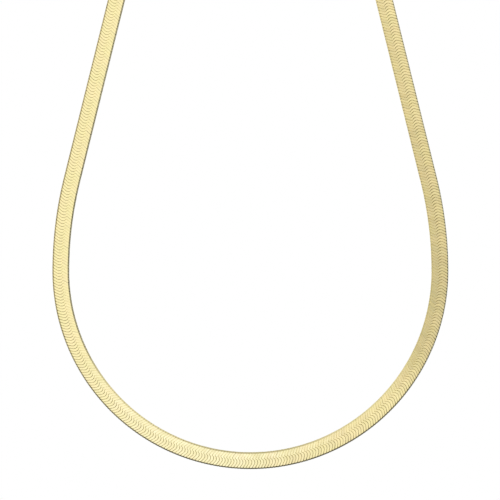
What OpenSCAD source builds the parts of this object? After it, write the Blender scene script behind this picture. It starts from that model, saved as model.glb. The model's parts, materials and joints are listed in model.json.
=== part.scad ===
// Flat snake chain necklace, clasped and hanging from one point above it.
// The loop lies in the XZ plane with its face towards -Y and Z up. The origin is
// where a hook bears on the inside of the top ring. All sizes are in millimetres.

/* [Loop] */
// Length of the closed loop along its middle, clasp included (24 inches)
loop_length = 609.6; // [560:0.1:660]
// Lean of each straight leg from upright, in degrees
leg_lean = 13.9; // [12:0.1:17]
// Radius of the side bends, as a multiple of the bottom bend's radius
side_ratio = 2; // [1.5:0.1:2.5]

/* [Chain] */
// Width of the chain across its face
band_w = 4.6; // [4:0.1:5]
// Thickness of the chain
band_t = 1.05; // [0.9:0.05:1.2]

/* [Rings] */
// Radius of the top ring to the middle of its wire
top_ring_r = 3; // [2.8:0.1:3.4]
// Wire of the top ring
top_wire = 1; // [0.9:0.05:1.1]
// Radius of the small ring between clasp and chain, to the middle of its wire
link_ring_r = 1.9; // [1.8:0.1:2.2]
// Wire of the small ring
link_wire = 0.75; // [0.65:0.05:0.85]
// Play between a ring and what hangs on it or carries it
ring_play = 0.35; // [0.3:0.05:0.4]

/* [End caps] */
// Length of a cap's sleeve, which holds the chain's end
cap_l = 4; // [3.6:0.1:5]
// Length of the tapered neck between sleeve and eye
neck_l = 2; // [1.8:0.1:2.4]
// Width of the neck at the eye
neck_w = 2; // [1.6:0.1:2.4]
// Wall of a cap round the chain
cap_wall = 0.3; // [0.25:0.05:0.35]
// Gap between a cap and the chain in it
cap_gap = 0.1; // [0.1:0.01:0.15]
// Hole in a cap's eye
eye_hole = 1.9; // [1.8:0.1:2.2]
// Wire of the eye
eye_wire = 0.65; // [0.6:0.05:0.7]

/* [Clasp] */
// Thickness of the clasp
clasp_t = 1.3; // [1.2:0.1:1.4]
// Width of the claw across its widest place
claw_w = 4.4; // [4.2:0.1:5]
// Width of the opening in the claw
claw_gap_w = 2; // [1.8:0.1:2.2]
// Length of the opening in the claw
claw_gap_l = 3.6; // [3.4:0.1:4]
// Metal round the claw's tip
claw_wall = 0.85; // [0.8:0.05:0.95]
// Distance from the claw's middle to its tail eye
tail_reach = 6; // [5.8:0.1:6.6]
// Hole in the tail eye
tail_hole = 1.5; // [1.4:0.05:1.6]
// Diameter of the tail eye
tail_w = 2.8; // [2.7:0.1:3]

/* [Hidden] */
$fn = 96;
gold = [0.86, 0.72, 0.38];
pale_gold = [0.93, 0.82, 0.52];

// The bottom bend's radius follows from the loop's length: half a turn, two side
// bends of leg_lean and two straight legs that meet at the apex.
lean_rad = leg_lean * PI / 180;
leg_per_radius = (side_ratio * cos(leg_lean) - (side_ratio - 1)) / sin(leg_lean);
bottom_r = loop_length / (PI + 2 * side_ratio * lean_rad + 2 * leg_per_radius);
side_r = side_ratio * bottom_r;
leg_l = leg_per_radius * bottom_r;

// The legs' middle lines meet at the apex, a little above the top ring's centre,
// so that the eye and the claw hang side by side on the ring.
apex_rise = top_ring_r / 2;
ring_z = -(top_ring_r - top_wire / 2);
apex_z = ring_z + apex_rise;
bend_z = apex_z - leg_l * cos(leg_lean) - side_r * sin(leg_lean);

// Where the side and bottom bends start and stop along the loop
side_start = leg_l;
bottom_start = side_start + side_r * lean_rad;
bottom_stop = bottom_start + bottom_r * PI;
side_stop = bottom_stop + side_r * lean_rad;

// Spacing of the chain's sections, and the flat sides of each of its round edges
leg_step = 24;
bend_step = 4;
edge_sides = 6;

// Distances down a leg from the apex
top_wire_s = apex_rise * cos(leg_lean) + sqrt(pow(top_ring_r, 2) - pow(apex_rise * sin(leg_lean), 2));
bearing_s = top_wire_s - top_wire / 2 - ring_play;
left_eye_s = bearing_s + eye_hole / 2;
claw_s = bearing_s + claw_gap_l / 2;
tail_s = claw_s + tail_reach;
link_ring_s = tail_s + tail_hole / 2 - ring_play - link_wire / 2 + link_ring_r;
right_eye_s = link_ring_s + link_ring_r - link_wire / 2 - ring_play + eye_hole / 2;

// A cap's neck starts a little inside its eye's rim, to which it is soldered
eye_sink = 0.3;
eye_to_neck = eye_hole / 2 + eye_wire - eye_sink;
eye_to_cap = eye_to_neck + neck_l;
cap_end = 0.5;
chain_inset = eye_to_cap + cap_end + cap_gap;
cap_over = cap_gap + cap_wall;
cap_w = band_w + 2 * cap_over;
neck_t = band_t + cap_over;

// Puts what is drawn at distance s below the apex on the leg of that side, with
// Z up the leg, X across the chain's face and Y through its thickness.
module on_leg(side, s) {
    translate([0, 0, apex_z]) rotate([0, -side * leg_lean, 0]) translate([0, 0, -s]) children();
}

// Section of the chain: a flat face on each side and round edges
module band_section(grow = 0) {
    t = band_t + 2 * grow;
    w = band_w + 2 * grow;
    square([w - t, t], center = true);
    for (side = [-1, 1]) translate([side * (w - t) / 2, 0]) circle(d = t);
}

// The loop's middle line, by the distance s along it from the apex down the left
// leg. facing(s) is the angle of its outer side from -X, upwards.
function turned(length, radius) = length / radius * 180 / PI;
function facing(s) =
    s <= side_start ? leg_lean
    : s <= bottom_start ? leg_lean - turned(s - side_start, side_r)
    : s <= bottom_stop ? -turned(s - bottom_start, bottom_r)
    : s <= side_stop ? -180 - turned(s - bottom_stop, side_r)
    : -180 - leg_lean;
function outward(s) = [-cos(facing(s)), 0, sin(facing(s))];
function middle(s) =
    s <= side_start ? [-s * sin(leg_lean), 0, apex_z - s * cos(leg_lean)]
    : s <= bottom_start ? [side_r - bottom_r, 0, bend_z] + side_r * outward(s)
    : s <= bottom_stop ? [0, 0, bend_z] + bottom_r * outward(s)
    : s <= side_stop ? [bottom_r - side_r, 0, bend_z] + side_r * outward(s)
    : [(loop_length - s) * sin(leg_lean), 0, apex_z - (loop_length - s) * cos(leg_lean)];

// Distances from one to another in equal steps of about a given length, without the last
function steps(from, to, step) =
    let (count = ceil((to - from) / step)) [for (i = [0:count - 1]) from + (to - from) * i / count];

// The chain's section as [outwards, through] points: two flat faces and two round edges
function section_points() =
    [for (side = [1, -1]) for (i = [0:edge_sides])
        let (angle = side * 90 * (1 - 2 * i / edge_sides))
        [side * ((band_w - band_t) / 2 + band_t / 2 * cos(angle)), band_t / 2 * sin(angle)]];

module ring(radius, wire) {
    rotate([90, 0, 0]) rotate_extrude() translate([radius, 0]) circle(d = wire, $fn = 48);
}

// One solid band along the loop, from inside the left cap to inside the right one
module chain() {
    left_end = left_eye_s + chain_inset;
    right_end = loop_length - right_eye_s - chain_inset;
    lowest = loop_length / 2;
    stops = concat(steps(left_end, side_start, leg_step), steps(side_start, bottom_start, bend_step),
                   steps(bottom_start, lowest, bend_step), steps(lowest, bottom_stop, bend_step),
                   steps(bottom_stop, side_stop, bend_step), steps(side_stop, right_end, leg_step), [right_end]);
    section = section_points();
    sides = len(section);
    last = len(stops) - 1;
    corners = [for (s = stops) for (p = section) middle(s) + p.x * outward(s) + [0, p.y, 0]];
    walls = [for (k = [0:last - 1]) for (i = [0:sides - 1])
        [k * sides + i, k * sides + (i + 1) % sides, (k + 1) * sides + (i + 1) % sides, (k + 1) * sides + i]];
    start_face = [for (i = [sides - 1:-1:0]) i];
    end_face = [for (i = [0:sides - 1]) last * sides + i];
    color(gold) polyhedron(corners, concat([start_face], walls, [end_face]));
}

module top_ring() {
    color(pale_gold) translate([0, 0, ring_z]) ring(top_ring_r, top_wire);
}

module link_ring() {
    color(pale_gold) on_leg(1, link_ring_s) ring(link_ring_r, link_wire);
}

// Tapered neck that stands on a sleeve, whose top is at the origin
module neck() {
    root = 0.2;
    rotate([90, 0, 0]) linear_extrude(neck_t, center = true)
        polygon([[-cap_w / 2 + cap_over, -root], [cap_w / 2 - cap_over, -root],
                 [cap_w / 2 - cap_over, 0], [neck_w / 2, neck_l], [-neck_w / 2, neck_l],
                 [-cap_w / 2 + cap_over, 0]]);
}

// Cap over the chain's end with an eye on top, whose hole runs across the chain
module end_cap(side, eye_s) {
    color(pale_gold) {
        on_leg(side, eye_s) rotate([0, 90, 0]) rotate_extrude()
            translate([(eye_hole + eye_wire) / 2, 0]) circle(d = eye_wire, $fn = 48);
        on_leg(side, eye_s + eye_to_cap) neck();
        on_leg(side, eye_s + eye_to_cap + cap_l) difference() {
            linear_extrude(cap_l) band_section(cap_over);
            translate([0, 0, -1]) linear_extrude(cap_l - cap_end + 1) band_section(cap_gap);
        }
    }
}

// The side of a body tapered between two discs that stand above each other: the
// four points where the straight sides touch the discs
function taper_points(r_top, r_low, z_top, z_low) =
    let (slope = asin((r_top - r_low) / (z_top - z_low)))
    [[r_top * cos(slope), z_top - r_top * sin(slope)], [r_low * cos(slope), z_low - r_low * sin(slope)],
     [-r_low * cos(slope), z_low - r_low * sin(slope)], [-r_top * cos(slope), z_top - r_top * sin(slope)]];

// Outline of the clasp, seen square to its flat side, with the claw's middle at the origin
module clasp_outline() {
    tip_r = claw_gap_w / 2 + claw_wall;
    tip_z = (claw_gap_l - claw_gap_w) / 2;
    wide_z = -claw_gap_l / 2;
    difference() {
        union() {
            translate([0, tip_z]) circle(r = tip_r);
            polygon(taper_points(tip_r, claw_w / 2, tip_z, wide_z));
            translate([0, wide_z]) circle(d = claw_w);
            polygon(taper_points(claw_w / 2, tail_w / 2, wide_z, -tail_reach));
            translate([0, -tail_reach]) circle(d = tail_w);
        }
        translate([0, tip_z]) circle(d = claw_gap_w);
        square([claw_gap_w, 2 * tip_z], center = true);
        translate([0, -tip_z]) circle(d = claw_gap_w);
        translate([0, -tail_reach]) circle(d = tail_hole);
    }
}

// Clasp closed on the top ring, in one piece with its lever
module clasp() {
    lever = [1, 0.8, 1.8];
    color(pale_gold) on_leg(1, claw_s) {
        rotate([90, 0, 90]) translate([0, 0, -clasp_t / 2]) linear_extrude(clasp_t) clasp_outline();
        translate([0, claw_w / 2, -claw_gap_l / 2]) cube([lever.x, lever.y, lever.z], center = true);
    }
}

chain();
top_ring();
clasp();
link_ring();
end_cap(-1, left_eye_s);  // end_cap_left
end_cap(1, right_eye_s);  // end_cap_right
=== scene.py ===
import json
import math

import bmesh
import bpy
from mathutils import Matrix, Vector, noise

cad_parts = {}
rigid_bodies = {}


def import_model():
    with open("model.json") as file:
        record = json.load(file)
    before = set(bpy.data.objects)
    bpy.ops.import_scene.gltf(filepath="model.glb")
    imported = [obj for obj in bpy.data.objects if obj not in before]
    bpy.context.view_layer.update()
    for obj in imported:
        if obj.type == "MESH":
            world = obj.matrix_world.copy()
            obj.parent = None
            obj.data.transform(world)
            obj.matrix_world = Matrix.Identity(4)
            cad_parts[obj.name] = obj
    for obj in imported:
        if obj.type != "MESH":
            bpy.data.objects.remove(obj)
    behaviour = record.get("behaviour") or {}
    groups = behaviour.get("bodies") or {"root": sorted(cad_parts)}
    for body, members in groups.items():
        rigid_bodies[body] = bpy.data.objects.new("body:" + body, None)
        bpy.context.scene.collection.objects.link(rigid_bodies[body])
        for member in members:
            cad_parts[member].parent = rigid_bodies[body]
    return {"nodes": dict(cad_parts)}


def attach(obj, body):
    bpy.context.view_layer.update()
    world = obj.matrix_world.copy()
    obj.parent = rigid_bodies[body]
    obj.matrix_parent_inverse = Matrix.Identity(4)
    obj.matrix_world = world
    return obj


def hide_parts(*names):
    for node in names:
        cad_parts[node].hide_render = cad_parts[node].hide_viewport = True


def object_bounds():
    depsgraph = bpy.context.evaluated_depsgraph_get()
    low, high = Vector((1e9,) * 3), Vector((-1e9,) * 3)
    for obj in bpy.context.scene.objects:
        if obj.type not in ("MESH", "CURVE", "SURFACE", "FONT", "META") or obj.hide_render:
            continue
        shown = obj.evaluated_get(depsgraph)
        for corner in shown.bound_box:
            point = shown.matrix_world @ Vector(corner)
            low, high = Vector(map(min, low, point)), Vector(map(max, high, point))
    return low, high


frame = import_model()
cad_low, cad_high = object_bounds()

# The studio. A pale floor under the hanging necklace, and round it a room of pale and dim
# walls, which is what polished gold shows. Two soft lamps stand in front, one above the
# other and both a little to the left, and a third stands behind.
photo_width = 0.1346                    # metres across the photograph's frame
photo_centre = Vector((-0.0001, 0, -0.2139))
lens, sensor = 135.0, 36.0              # millimetres, a long lens straight in front


def add_object(name, data):
    """Puts a new object with this data in the scene, at the origin."""
    made = bpy.data.objects.new(name, data)
    bpy.context.scene.collection.objects.link(made)
    return made


camera_data = bpy.data.cameras.new("camera")
camera_data.lens, camera_data.sensor_width = lens, sensor
camera_data.clip_start, camera_data.clip_end = 0.01, 50
camera = add_object("camera", camera_data)
camera.location = photo_centre - Vector((0, photo_width * lens / sensor, 0))
camera.rotation_euler = (math.radians(90), 0, 0)
bpy.context.scene.camera = camera
bpy.context.scene.view_settings.view_transform = "Standard"
bpy.context.scene.view_settings.look = "None"


def add_node(tree, kind, inputs=None, **settings):
    """Adds a node, sets its properties, and fills or links its inputs by name or number."""
    made = tree.nodes.new(kind)
    for key, value in settings.items():
        setattr(made, key, value)
    for key, value in (inputs or {}).items():
        if isinstance(value, bpy.types.NodeSocket):
            tree.links.new(value, made.inputs[key])
        else:
            made.inputs[key].default_value = value
    return made


# The room's walls, all the way round: degrees to the right of the front, brightness and
# colour, as the chain sees them
walls = [(-180, 0.68, (1, 0.95, 0.80)), (-136, 0.80, (1, 0.95, 0.80)), (-112, 1.00, (1, 0.96, 0.78)),
         (-96, 1.00, (1, 0.96, 0.78)), (-90, 0.34, (1, 0.96, 0.88)), (-72, 0.36, (1, 0.96, 0.86)),
         (-56, 0.56, (1, 0.96, 0.80)), (-30, 0.76, (1, 0.96, 0.80)), (3, 0.80, (1, 0.92, 0.70)),
         (8, 0.79, (1, 0.86, 0.58)), (13, 0.56, (1, 1.00, 0.98)), (20, 0.38, (1, 1.07, 1.20)),
         (32, 0.42, (1, 1.00, 0.95)), (50, 0.70, (1, 1.00, 0.95)), (82, 0.70, (1, 1.06, 1.20)),
         (91, 0.11, (1, 1.08, 1.14)), (114, 0.11, (1, 1, 1)), (128, 0.84, (1, 0.95, 0.80)),
         (180, 0.68, (1, 0.95, 0.80))]
# The dark below the walls and the pale ceiling above them: how high, from -1 to 1,
# brightness, colour, and how much of the wall it hides there
heights = [(-0.92, 0.14, (0.95, 1, 1.02), 1), (-0.60, 0.22, (0.95, 1, 1.02), 1),
           (-0.40, 0.22, (0.95, 1, 1.02), 0), (0.40, 0.80, (1, 1, 0.93), 0),
           (0.62, 0.80, (1, 1, 0.93), 1), (0.88, 0.80, (1, 1, 0.93), 1), (0.98, 0.50, (1, 1, 0.93), 1)]
# Forwards and backwards the dark below gives way to a warm glow: from and to how far that
# way, from 0 to 1, and its brightness and colour
glow_from, glow_to, low_glow, low_colour = 0.35, 0.50, 0.76, (1, 0.91, 0.66)
world = bpy.data.worlds.new("studio")
bpy.context.scene.world = world
world.use_nodes = True
tree = world.node_tree
tree.nodes.clear()
direction = add_node(tree, "ShaderNodeTexCoord").outputs["Generated"]
parts = add_node(tree, "ShaderNodeSeparateXYZ", {0: direction})
towards = add_node(tree, "ShaderNodeMath", {0: parts.outputs["Y"], 1: -1.0}, operation="MULTIPLY")
azimuth = add_node(tree, "ShaderNodeMath", {0: parts.outputs["X"], 1: towards.outputs[0]},
                   operation="ARCTAN2")
round_room = add_node(tree, "ShaderNodeMapRange", {0: azimuth.outputs[0], 1: -math.pi, 2: math.pi})
up_room = add_node(tree, "ShaderNodeMapRange", {0: parts.outputs["Z"], 1: -1.0, 2: 1.0})
off_side = add_node(tree, "ShaderNodeMath", {0: parts.outputs["Y"]}, operation="ABSOLUTE")
glowing = add_node(tree, "ShaderNodeMapRange", {0: off_side.outputs[0], 1: glow_from, 2: glow_to})
wall_ramp = add_node(tree, "ShaderNodeValToRGB", {0: round_room.outputs[0]})
height_ramp = add_node(tree, "ShaderNodeValToRGB", {0: up_room.outputs[0]})
glow_ramp = add_node(tree, "ShaderNodeValToRGB", {0: up_room.outputs[0]})


def fill_ramp(node, stops):
    """Gives a colour ramp its stops: place from 0 to 1, brightness, colour and alpha."""
    while len(node.color_ramp.elements) < len(stops):
        node.color_ramp.elements.new(1.0)
    for element, (place, bright, colour, alpha) in zip(node.color_ramp.elements, stops):
        element.position = place
        element.color = (*(bright * part for part in colour), alpha)


fill_ramp(wall_ramp, [((degrees + 180) / 360, bright, colour, 1) for degrees, bright, colour in walls])
glow_heights = [(high, low_glow, low_colour, hides) if high < 0 else (high, bright, colour, hides)
                for high, bright, colour, hides in heights]
for ramp, rows in ((height_ramp, heights), (glow_ramp, glow_heights)):
    fill_ramp(ramp, [((high + 1) / 2, bright, colour, hides) for high, bright, colour, hides in rows])
above_below = add_node(tree, "ShaderNodeMix", {0: glowing.outputs[0], 6: height_ramp.outputs[0],
                                               7: glow_ramp.outputs[0]}, data_type="RGBA")
seen = add_node(tree, "ShaderNodeMix", {0: height_ramp.outputs["Alpha"], 6: wall_ramp.outputs[0],
                                        7: above_below.outputs[2]}, data_type="RGBA")
# The gold shows the room, and the camera sees plain white behind the necklace
room = add_node(tree, "ShaderNodeBackground", {"Color": seen.outputs[2], "Strength": 1.0})
white = add_node(tree, "ShaderNodeBackground", {"Color": (1, 1, 1, 1), "Strength": 1.0})
to_camera = add_node(tree, "ShaderNodeLightPath").outputs["Is Camera Ray"]
backdrop = add_node(tree, "ShaderNodeMixShader", {0: to_camera, 1: room.outputs[0], 2: white.outputs[0]})
add_node(tree, "ShaderNodeOutputWorld", {"Surface": backdrop.outputs[0]})

floor_drop = 0.08                       # from the chain's lowest point down to the floor
floor_radius, floor_steps = 0.45, 96    # its size, and the points round its rim
floor_colour, floor_roughness = (0.90, 0.87, 0.85, 1), 0.8
bpy.ops.mesh.primitive_circle_add(vertices=floor_steps, radius=floor_radius, fill_type="NGON",
                                  location=(0, 0, cad_low.z - floor_drop))
floor = bpy.context.object
floor.name = "floor"
floor.visible_glossy = False
paint = bpy.data.materials.new("pale_floor")
paint.use_nodes = True
paint_shader = paint.node_tree.nodes["Principled BSDF"]
paint_shader.inputs["Base Color"].default_value = floor_colour
paint_shader.inputs["Roughness"].default_value = floor_roughness
floor.data.materials.append(paint)

lamp_distance = 1.2                     # metres from the necklace to each lamp
lamp_watts = 4                          # for a square metre of lamp at brightness 1


def softbox(name, azimuths, rises, bright, colour=(1, 1, 1)):
    """A soft lamp that fills two spans of degrees, seen from the necklace: + is right and up."""
    turn, rise = math.radians(sum(azimuths) / 2), math.radians(sum(rises) / 2)
    width = 2 * lamp_distance * math.tan(math.radians(azimuths[1] - azimuths[0]) / 2)
    height = 2 * lamp_distance * math.tan(math.radians(rises[1] - rises[0]) / 2)
    lamp = bpy.data.lights.new(name, "AREA")
    lamp.shape, lamp.size, lamp.size_y = "RECTANGLE", width, height
    lamp.energy, lamp.color = bright * lamp_watts * width * height, colour
    box = add_object(name, lamp)
    aim = Vector((math.sin(turn) * math.cos(rise), -math.cos(turn) * math.cos(rise), math.sin(rise)))
    box.location = photo_centre + lamp_distance * aim
    box.rotation_euler = (-aim).to_track_quat("-Z", "Y").to_euler()
    box.visible_camera = False


softbox("front", (-25, 9), (-12, 32), 0.255, (0.94, 1.10, 1.36))
softbox("low front", (-22, 9), (-28, -12), 0.38, (0.85, 1.16, 2.0))
softbox("behind", (165, 200), (-30, 40), 0.30)


# The chain. Some 730 links of gold wire, each bent to a flat S that runs across the
# face, round the edge and back behind, and nested in the next one. Nothing but their
# shape joins them, and they were rolled flat and polished together.
loop_length = 0.6096                    # metres, a 24 inch chain with its fittings
leg_lean = math.radians(13.9)           # of the straight legs from upright
side_ratio = 2.0                        # the sides' radius for 1 of the bottom's
apex_z = -0.001                         # where the straight legs, carried on, would meet
band_width, band_thickness = 0.00456, 0.00100   # over the links
left_start, right_start = 0.00843, 0.01933      # from the apex down each leg to the chain
chain_length = loop_length - left_start - right_start
# Each leg's length for 1 of the bottom's radius, and then the loop's true sizes
leg_per_radius = (side_ratio * math.cos(leg_lean) - (side_ratio - 1)) / math.sin(leg_lean)
bottom_radius = loop_length / (math.pi + 2 * side_ratio * leg_lean + 2 * leg_per_radius)
side_radius = side_ratio * bottom_radius
leg_length = leg_per_radius * bottom_radius
bend_z = apex_z - leg_length * math.cos(leg_lean) - side_radius * math.sin(leg_lean)


def middle(s):
    """The loop's middle line at distance s from the apex, down the left leg and round."""
    if s > loop_length / 2:
        x, y, z = middle(loop_length - s)
        return -x, y, z
    if s < leg_length:
        return -s * math.sin(leg_lean), 0, apex_z - s * math.cos(leg_lean)
    facing = leg_lean - (s - leg_length) / side_radius
    if facing > 0:
        x = side_radius - bottom_radius - side_radius * math.cos(facing)
        return x, 0, bend_z + side_radius * math.sin(facing)
    facing *= side_ratio
    return -bottom_radius * math.cos(facing), 0, bend_z + bottom_radius * math.sin(facing)


# How far the face is turned outwards, in degrees, at parts of the way along the chain from
# the left end. It lies square in the end caps and was laid a little uneven by hand
turns = [(0.00, 0.0), (0.01, 0.0), (0.06, 3.0), (0.50, 3.0), (0.54, 1.0), (0.575, -1.8), (0.61, 2.3),
         (0.65, 1.9), (0.69, 1.9), (0.725, 1.1), (0.80, 0.8), (0.94, 3.0), (0.99, 0.0), (1.00, 0.0)]
waver, waver_count = 1.6, 20            # degrees, and slow wavers along the chain
waver_seed = (0.3, 0.6)
square_part, freed_part = 0.01, 0.05    # held square at each end, and then let go over
# How far the links' S is drawn out there, from 0 to 1, as the chain was pulled unevenly
drawn_out = [(0.00, 0.0), (0.36, 0.0), (0.42, 0.4), (0.60, 0.4), (0.68, 1.0), (1.00, 1.0)]
link_shapes = 9                         # from not drawn out to fully drawn out


def eased(points, part):
    """The value at a part of the way along, run smoothly between (part, value) points."""
    for (start, low), (stop, high) in zip(points, points[1:]):
        if part <= stop:
            ease = (part - start) / (stop - start)
            return low + (high - low) * ease * ease * (3 - 2 * ease)


def face_turn(part):
    """How far the face is turned outwards at a part of the way along the chain, in radians."""
    free = min(1, max(0, min(part, 1 - part) - square_part) / freed_part)
    wavering = noise.noise(Vector((waver_count * part, *waver_seed)))
    return math.radians(eased(turns, part) + free * waver * wavering)


route = bpy.data.curves.new("route", "CURVE")
route.dimensions = "3D"
route_steps = 2400
spline = route.splines.new("POLY")
spline.points.add(route_steps)
# Each point of the route also carries the face's turn there, as its tilt, and the number of
# the link shape to use there, as its radius
for i, point in enumerate(spline.points):
    part = i / route_steps
    s = left_start + chain_length * i / route_steps
    point.co = (*middle(s), 1)
    point.tilt = face_turn(part)
    point.radius = eased(drawn_out, part) * (link_shapes - 1)
route_line = add_object("route", route)

link_pitch = 0.00079                    # metres from each link to the next
# One link's S on the face's flat part: how far across from the outer edge, how far along
# the chain in pitches, how far sunk in millimetres, how wide the lip on the link's one side
# and the groove on its other side are, in pitches, and how much painted shade darkens the groove from
# there on
bends = [(0.000, 0.00, 0.000, 0.10, 0.12, 0.25), (0.270, 0.80, 0.012, 0.08, 0.10, 0.25),
         (0.385, 0.93, 0.018, 0.10, 0.12, 0.12), (0.542, 0.80, 0.025, 0.12, 0.11, 0.05),
         (0.598, 0.29, 0.028, 0.13, 0.08, 0.05), (0.658, 0.17, 0.025, 0.17, 0.06, 0.05),
         (0.810, 0.60, 0.010, 0.15, 0.04, 0.05), (1.000, 1.14, 0.000, 0.14, 0.04, 0.10)]
# The same bends where the S is fully drawn out
drawn_bends = [(0.000, 0.00, 0.000, 0.10, 0.12, 0.20), (0.270, 0.80, 0.008, 0.07, 0.10, 0.42),
               (0.365, 0.93, 0.013, 0.08, 0.12, 0.88), (0.530, 0.63, 0.018, 0.14, 0.15, 1.00),
               (0.605, 0.21, 0.020, 0.10, 0.08, 0.65), (0.665, 0.12, 0.018, 0.10, 0.06, 0.32),
               (0.810, 0.46, 0.007, 0.10, 0.05, 0.28), (1.000, 1.08, 0.000, 0.10, 0.08, 0.30)]
back_bends = (7, 4, 3, 0)               # which of them the back has too
# Each turn round an edge, outer and inner: how far in from the edge it starts, half the
# height of its upright side, and its lip, groove and painted shade, which darkens the gaps between the
# links' ends there
edge_turns = [(0.00043, 0.00016, 0.15, 0.31, 1.0), (0.00038, 0.00004, 0.30, 0.05, 0.3)]
drawn_turns = [(0.00034, 0.00024, 0.12, 0.42, 1.0), (0.00038, 0.00003, 0.22, 0.12, 0.8)]
groove_depth, wire_depth = 0.00006, 0.00042     # metres below the link's flat top
foot_reach = 0.12                       # how far a link's foot lies under the next, in pitches
# Each lip drops by a share of the groove's depth and takes a share of its painted shade
lip_drop, lip_shade = 0.75, 0.4         # of the groove's depth and shade
edge_slope = math.radians(20)           # each edge is two faces that lean this much


def wire_section(lip, groove):
    """The wire's five corners, each in pitches along the chain and metres above its surface.

    A lip on one side, a flat top, and on the other a foot that lies under the next link."""
    foot = groove_depth * (groove + foot_reach) / groove
    return ((-0.5, -lip_drop * groove_depth), (lip - 0.5, 0), (0.5 - groove, 0), (0.5 + foot_reach, -foot),
            (foot_reach, -wire_depth))


def between(tight, loose, drawn):
    """Rows of numbers part of the way from the tight rows to the loose ones."""
    return [[low + (high - low) * drawn for low, high in zip(*rows)] for rows in zip(tight, loose)]


def stations(drawn):
    """Round one link, each section's centre, outward normal, shift along, lip, groove and painted shade.
    """
    half, thick = band_width / 2, band_thickness / 2
    outer_turn, inner_turn = between(edge_turns, drawn_turns, drawn)
    flat_start, flat_stop = half - outer_turn[0], inner_turn[0] - half
    front = between(bends, drawn_bends, drawn)
    for side, rows in ((-1, front), (1, [front[i] for i in back_bends])):
        for across, along, sunk, lip, groove, shade in rows:
            centre = Vector((flat_start + (flat_stop - flat_start) * across,
                             side * (thick - sunk / 1000), 0))
            yield centre, Vector((0, side, 0)), along * link_pitch, lip, groove, shade
        edge, along, turn = (-half, front[-1][1], inner_turn) if side < 0 else (half, 0, outer_turn)
        for level in (side, -side):
            out = Vector((math.copysign(math.cos(edge_slope), edge), level * math.sin(edge_slope), 0))
            yield Vector((edge, level * turn[1], 0)), out, along * link_pitch, *turn[2:]


def link_shape(drawn):
    """The mesh of one link, its S drawn out by that much from 0 to 1, with painted shade for its grooves
    and gaps in a face attribute.
    """
    mesh = bmesh.new()
    # Painted shade: a face attribute named groove, which darkens the gold's colour in the grooves, the
    # gaps and on the faces the next links hide
    painted_shade_layer = mesh.faces.layers.float.new("groove")
    rings, shades, upright = [], [], []
    for centre, out, shift, lip, groove, shade in stations(drawn):
        rings.append([mesh.verts.new(centre + out * height + Vector((0, 0, shift + along * link_pitch)))
                      for along, height in wire_section(lip, groove)])
        shades.append(shade)
        upright.append(out.x != 0)
    for i, ring in enumerate(rings):
        before = rings[i - 1]
        turning = upright[i] or upright[i - 1]
        shade = shades[i] if upright[i] else shades[i - 1]
        # The painted shade of the lip, the top, the groove and the two faces that the next links hide
        for k, dark in enumerate((lip_shade * shade, 0.0, shade, 1.0, 1.0)):
            after = (k + 1) % len(ring)
            face = mesh.faces.new((before[k], ring[k], ring[after], before[after]))
            face.smooth = not turning
            face[painted_shade_layer] = dark
    bmesh.ops.recalc_face_normals(mesh, faces=mesh.faces)
    for i, ring in enumerate(rings):
        for corner, corner_before in zip(ring, rings[i - 1]):
            mesh.edges.get((corner, corner_before)).smooth = False
    made = bpy.data.meshes.new("link")
    mesh.to_mesh(made)
    mesh.free()
    return made


link_box = bpy.data.collections.new("link_box")
bpy.context.scene.collection.children.link(link_box)
for i in range(link_shapes):
    link_box.objects.link(bpy.data.objects.new(f"link_{i}", link_shape(i / (link_shapes - 1))))


patch_scale, wear_scale = 260.0, 900.0  # of the gold's faint patches and of its finer wear
patch_span, wear_span = (0.35, 0.65), (0.3, 0.7)    # where in the noise each begins and ends
dull_patch, clear_patch = (0.97, 0.99, 0.95), (1.00, 0.99, 1.00)    # shares of the colour
smoothest, roughest = 0.8, 1.25         # shares of the roughness
scratch_strength, scratch_depth = 0.06, 0.00005


def gold(name, colour, roughness, painted_groove_shade=None):
    """Polished gold with faint dull and clear patches and hairline scratches, and, where a groove colour
    is given, painted shade in the links' grooves and gaps.
    """
    made = bpy.data.materials.new(name)
    made.use_nodes = True
    tree = made.node_tree
    shader = tree.nodes["Principled BSDF"]
    place = add_node(tree, "ShaderNodeTexCoord").outputs["Object"]
    patches = add_node(tree, "ShaderNodeTexNoise", {"Vector": place, "Scale": patch_scale, "Detail": 3.0})
    tint = add_node(tree, "ShaderNodeValToRGB", {"Fac": patches.outputs["Fac"]})
    for end, place_on_ramp, patch in zip(tint.color_ramp.elements, patch_span, (dull_patch, clear_patch)):
        end.position = place_on_ramp
        end.color = (*(part * share for part, share in zip(colour, patch)), 1)
    body = tint.outputs["Color"]
    # Painted shade: the faces' groove attribute mixes the colour towards a dark gold in grooves and gaps
    if painted_groove_shade:
        painted_shade_factor = add_node(tree, "ShaderNodeAttribute", attribute_name="groove").outputs["Fac"]
        mix = add_node(tree, "ShaderNodeMix", {"Factor": painted_shade_factor, 6: body, 7: (*painted_groove_shade, 1)},
                       data_type="RGBA")
        body = mix.outputs[2]
    tree.links.new(body, shader.inputs["Base Color"])
    shader.inputs["Metallic"].default_value = 1.0
    wear = add_node(tree, "ShaderNodeTexNoise", {"Vector": place, "Scale": wear_scale, "Detail": 4.0})
    polish = add_node(tree, "ShaderNodeMapRange",
                      {0: wear.outputs["Fac"], 1: wear_span[0], 2: wear_span[1],
                       3: roughness * smoothest, 4: roughness * roughest})
    tree.links.new(polish.outputs[0], shader.inputs["Roughness"])
    bump = add_node(tree, "ShaderNodeBump", {"Strength": scratch_strength, "Distance": scratch_depth,
                                             "Height": wear.outputs["Fac"]})
    tree.links.new(bump.outputs[0], shader.inputs["Normal"])
    return made


# The chain's gold, with a dark, saturated gold for the painted shade in its grooves and gaps
chain_gold = gold("chain_gold", (0.97, 0.85, 0.49), 0.24, (0.20, 0.14, 0.02))


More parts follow.
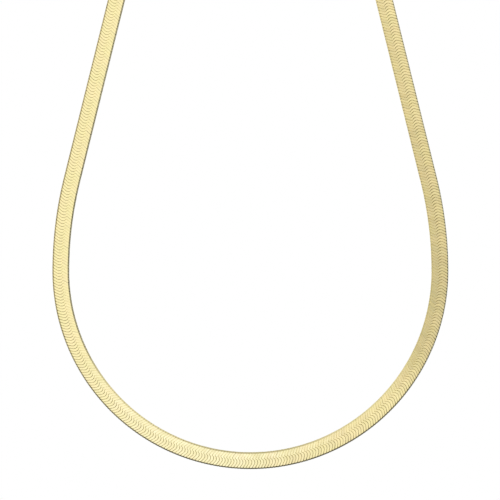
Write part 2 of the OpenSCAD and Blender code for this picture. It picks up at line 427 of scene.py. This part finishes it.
def set_input(modifier, name, value):
    """Sets a modifier's input by the identifier of the socket with that name."""
    for item in modifier.node_group.interface.items_tree:
        if item.name == name and item.in_out == "INPUT":
            modifier[item.identifier] = value


def finished_mesh(made):
    """The plain mesh that an object shows, with its modifiers done."""
    graph = bpy.context.evaluated_depsgraph_get()
    return bpy.data.meshes.new_from_object(made.evaluated_get(graph), depsgraph=graph)


loose_tilt, loose_seed = math.radians(0.6), 4       # how unevenly the links sit in each other
# The links' tree: a seat at every pitch along the route, and on each seat the link shape
# whose number the route carries there
links = bpy.data.node_groups.new("links_along_route", "GeometryNodeTree")
for name, kind in (("Route", "Object"), ("Links", "Collection"), ("Pitch", "Float"),
                   ("Loose Tilt", "Float"), ("Seed", "Int"), ("Metal", "Material")):
    links.interface.new_socket(name, in_out="INPUT", socket_type="NodeSocket" + kind)
links.interface.new_socket("Geometry", in_out="OUTPUT", socket_type="NodeSocketGeometry")
given = links.nodes.new("NodeGroupInput").outputs
line = add_node(links, "GeometryNodeObjectInfo", {"Object": given["Route"]}).outputs["Geometry"]
shapes = add_node(links, "GeometryNodeCollectionInfo", {"Collection": given["Links"],
                  "Separate Children": True, "Reset Children": True}).outputs[0]
shape_number = add_node(links, "GeometryNodeInputRadius").outputs[0]
which = add_node(links, "FunctionNodeFloatToInt", {0: shape_number}, rounding_mode="ROUND").outputs[0]
seats = add_node(links, "GeometryNodeResampleCurve", {"Curve": line, "Length": given["Pitch"]},
                 mode="LENGTH")
# Each link points along the route with its face forwards, and is then turned with the
# chain's face and tilted a little at random
tangent = add_node(links, "GeometryNodeInputTangent").outputs[0]
along = add_node(links, "FunctionNodeAlignRotationToVector", {"Vector": tangent}, axis="Z")
square = add_node(links, "FunctionNodeAlignRotationToVector",
                  {"Rotation": along.outputs[0], "Vector": (0.0, 1.0, 0.0)}, axis="Y", pivot_axis="Z")
lean = add_node(links, "GeometryNodeInputCurveTilt").outputs[0]
loose = add_node(links, "FunctionNodeRandomValue", {"Seed": given["Seed"]}, data_type="FLOAT_VECTOR")
loose.inputs["Min"].default_value = (-1, -1, -1)
loose.inputs["Max"].default_value = (1, 1, 1)
jitter = add_node(links, "ShaderNodeVectorMath", {0: loose.outputs["Value"], "Scale": given["Loose Tilt"]},
                  operation="SCALE").outputs[0]
leaning = add_node(links, "ShaderNodeCombineXYZ", {"Z": lean}).outputs[0]
turn = add_node(links, "ShaderNodeVectorMath", {0: leaning, 1: jitter}, operation="ADD").outputs[0]
local = add_node(links, "FunctionNodeEulerToRotation", {"Euler": turn}).outputs[0]
turned = add_node(links, "FunctionNodeRotateRotation",
                  {"Rotation": square.outputs[0], "Rotate By": local}, rotation_space="LOCAL")
placed = add_node(links, "GeometryNodeInstanceOnPoints",
                  {"Points": seats.outputs[0], "Instance": shapes, "Pick Instance": True,
                   "Instance Index": which, "Rotation": turned.outputs[0]})
joined = add_node(links, "GeometryNodeRealizeInstances", {"Geometry": placed.outputs[0]})
coated = add_node(links, "GeometryNodeSetMaterial",
                  {"Geometry": joined.outputs[0], "Material": given["Metal"]})
add_node(links, "NodeGroupOutput", {"Geometry": coated.outputs[0]})

maker = add_object("chain_maker", bpy.data.meshes.new("chain_maker"))
repeat = maker.modifiers.new("links", "NODES")
repeat.node_group = links
for name, value in (("Route", route_line), ("Links", link_box), ("Pitch", link_pitch),
                    ("Loose Tilt", loose_tilt), ("Seed", loose_seed), ("Metal", chain_gold)):
    set_input(repeat, name, value)
chain_links = add_object("chain_links", finished_mesh(maker))
for used in (maker, route_line, *link_box.objects):
    bpy.data.objects.remove(used)
bpy.data.collections.remove(link_box)
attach(chain_links, "root")
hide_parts("chain")


# The end caps. Each is a sleeve of gold sheet soldered over the chain's end, with a
# tapered neck and an eye of round wire on top, all filed smooth and polished.
fitting_gold = gold("fitting_gold", (0.97, 0.84, 0.48), 0.16)
# From the inside of the sleeve, round its lip, over its shoulder and up the neck: height
# above the mouth, half width, half thickness and corner radius, in millimetres
cap_rows = [(3.50, 2.40, 0.620, 0.60), (0.10, 2.40, 0.620, 0.60), (0.03, 2.43, 0.650, 0.62),
            (0.00, 2.50, 0.720, 0.68), (0.00, 2.60, 0.820, 0.78), (0.03, 2.67, 0.895, 0.86),
            (0.10, 2.70, 0.920, 0.88), (3.90, 2.70, 0.920, 0.88), (3.97, 2.67, 0.895, 0.86),
            (4.00, 2.60, 0.820, 0.78), (4.00, 2.34, 0.760, 0.30), (4.04, 2.28, 0.725, 0.18),
            (5.88, 1.07, 0.720, 0.18), (5.96, 1.00, 0.690, 0.16), (6.00, 0.90, 0.610, 0.12)]
corner_steps = 6
# The eye: its wire's circle, the wire's own radius, and the eye's height above the mouth
eye_radius, eye_wire, eye_height = 0.001275, 0.00032, 0.0073
eye_steps, wire_sides = 40, 16
# Each cap's name, its leg, -1 left and 1 right, and how far down that leg its mouth is
cap_mouths = (("end_cap_left", -1, 0.011834), ("end_cap_right", 1, 0.022734))


def box_ring(height, half_width, half_thick, corner):
    """Points round a flat box with round corners, at a height, all sizes in millimetres."""
    points = []
    for quarter, (x, y) in enumerate(((1, 1), (-1, 1), (-1, -1), (1, -1))):
        for step in range(corner_steps + 1):
            angle = (quarter + step / corner_steps) * math.pi / 2
            points.append(Vector((x * (half_width - corner) + corner * math.cos(angle),
                                  y * (half_thick - corner) + corner * math.sin(angle), height)) / 1000)
    return points


def skin(mesh, rings, endless=False):
    """Faces from each ring of points to the next, closed at both ends or run together."""
    made = [[mesh.verts.new(point) for point in ring] for ring in rings]
    count = len(made[0])
    for low, high in zip(made, made[1:] + made[:1] if endless else made[1:]):
        for k in range(count):
            mesh.faces.new((low[k], low[(k + 1) % count], high[(k + 1) % count], high[k]))
    if not endless:
        mesh.faces.new(made[0])
        mesh.faces.new(made[-1])


def on_leg(side, s):
    """The place on a leg of the loop, -1 left and 1 right, at distance s down from the apex."""
    return (Matrix.Translation((0, 0, apex_z)) @ Matrix.Rotation(-side * leg_lean, 4, "Y")
            @ Matrix.Translation((0, 0, -s)))


def fitting(name, mesh, place):
    """Makes a polished fitting of a mesh at its place, instead of the piece in the frame."""
    bmesh.ops.recalc_face_normals(mesh, faces=mesh.faces)
    made = bpy.data.meshes.new(name + "_body")
    mesh.to_mesh(made)
    mesh.free()
    made.transform(place)
    made.shade_smooth()
    made.materials.append(fitting_gold)
    body = add_object(name + "_body", made)
    body.modifiers.new("even_shading", "WEIGHTED_NORMAL")
    body.data = finished_mesh(body)
    body.modifiers.clear()
    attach(body, "root")
    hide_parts(name)


for name, side, down in cap_mouths:
    mesh = bmesh.new()
    skin(mesh, [box_ring(*row) for row in cap_rows])
    wire = []
    for k in range(wire_sides):
        angle = math.tau * k / wire_sides
        wire.append(Vector((eye_wire * math.sin(angle), eye_radius + eye_wire * math.cos(angle), 0)))
    eye = []
    for i in range(eye_steps):
        turn = Matrix.Rotation(math.tau * i / eye_steps, 3, "X")
        eye.append([Vector((0, 0, eye_height)) + turn @ point for point in wire])
    skin(mesh, eye, endless=True)
    fitting(name, mesh, on_leg(side, down))


# The clasp. A small lobster claw, cast in gold in one piece with its lever, closed on
# the top ring, and tumbled until all its edges are round.
clasp_down = 0.005384                   # from the apex down the right leg to the claw's middle
clasp_thick, clasp_edge, edge_steps = 0.00128, 0.00030, 3
# The claw's outline runs round three circles: radius, and height above the claw's middle
tip, wide, tail = (0.00183, 0.0008), (0.00218, -0.0018), (0.00138, -0.0060)
gap_radius, gap_reach, hole_radius = 0.00102, 0.0008, 0.00077   # the mouth and the tail's hole
arc_step = 7.5                          # degrees from point to point round an arc
# The lever's pad on the claw's widest side, in the same columns as the caps' rows
lever_rows = [(-0.50, 0.50, 0.90, 0.20), (0.20, 0.50, 0.90, 0.20), (0.34, 0.42, 0.82, 0.20),
              (0.38, 0.30, 0.70, 0.15)]


def arc(circle, start, stop):
    """Points on a circle given by its radius and height, between two angles in degrees."""
    radius, height = circle
    steps = max(2, round(abs(stop - start) / arc_step))
    angles = [math.radians(start + (stop - start) * i / steps) for i in range(steps + 1)]
    return [(radius * math.cos(angle), height + radius * math.sin(angle)) for angle in angles]


def touch(upper, lower):
    """The angle in degrees at which a straight line touches two circles above each other."""
    return math.degrees(math.asin((lower[0] - upper[0]) / (upper[1] - lower[1])))


flare, taper = touch(tip, wide), touch(wide, tail)
outer_line = (arc(tip, flare, 180 - flare) + arc(wide, 180 - flare, 180 - taper)[1:]
              + arc(tail, 180 - taper, 360 + taper)[1:] + arc(wide, 360 + taper, 360 + flare)[1:-1])
mouth_line = arc((gap_radius, gap_reach), 0, 180) + arc((gap_radius, -gap_reach), 180, 360)
hole_line = arc((hole_radius, tail[1]), 0, 360)[:-1]
claw = bpy.data.curves.new("claw", "CURVE")
claw.dimensions, claw.fill_mode = "2D", "BOTH"
claw.extrude = clasp_thick / 2 - clasp_edge
claw.bevel_depth, claw.bevel_resolution, claw.offset = clasp_edge, edge_steps, -clasp_edge
for outline in (outer_line, mouth_line, hole_line):
    rim = claw.splines.new("POLY")
    rim.points.add(len(outline) - 1)
    rim.use_cyclic_u = True
    for point, place in zip(rim.points, outline):
        point.co = (*place, 0, 1)
claw_line = add_object("claw", claw)
mesh = bmesh.new()
mesh.from_mesh(finished_mesh(claw_line))
bpy.data.objects.remove(claw_line)
bmesh.ops.remove_doubles(mesh, verts=mesh.verts, dist=1e-7)
# The claw hangs edge on to the front: its outline is in y and z, and its thickness in x
edge_on = Matrix(((0, 0, 1, 0), (1, 0, 0, 0), (0, 1, 0, 0), (0, 0, 0, 1)))
bmesh.ops.transform(mesh, matrix=edge_on, verts=mesh.verts)
skin(mesh, [[Vector((p.x, p.z + wide[0], p.y + wide[1])) for p in box_ring(*row)] for row in lever_rows])
fitting("clasp", mesh, on_leg(1, clasp_down))


# The two rings. The top ring, which the hook carries and the clasp closes on, and the small
# one between the clasp and the right end cap. Each is round gold wire, bent to a circle,
# soldered shut and polished.
for name in ("top_ring", "link_ring"):
    node = frame["nodes"][name]
    node.data.materials.clear()
    node.data.materials.append(fitting_gold)
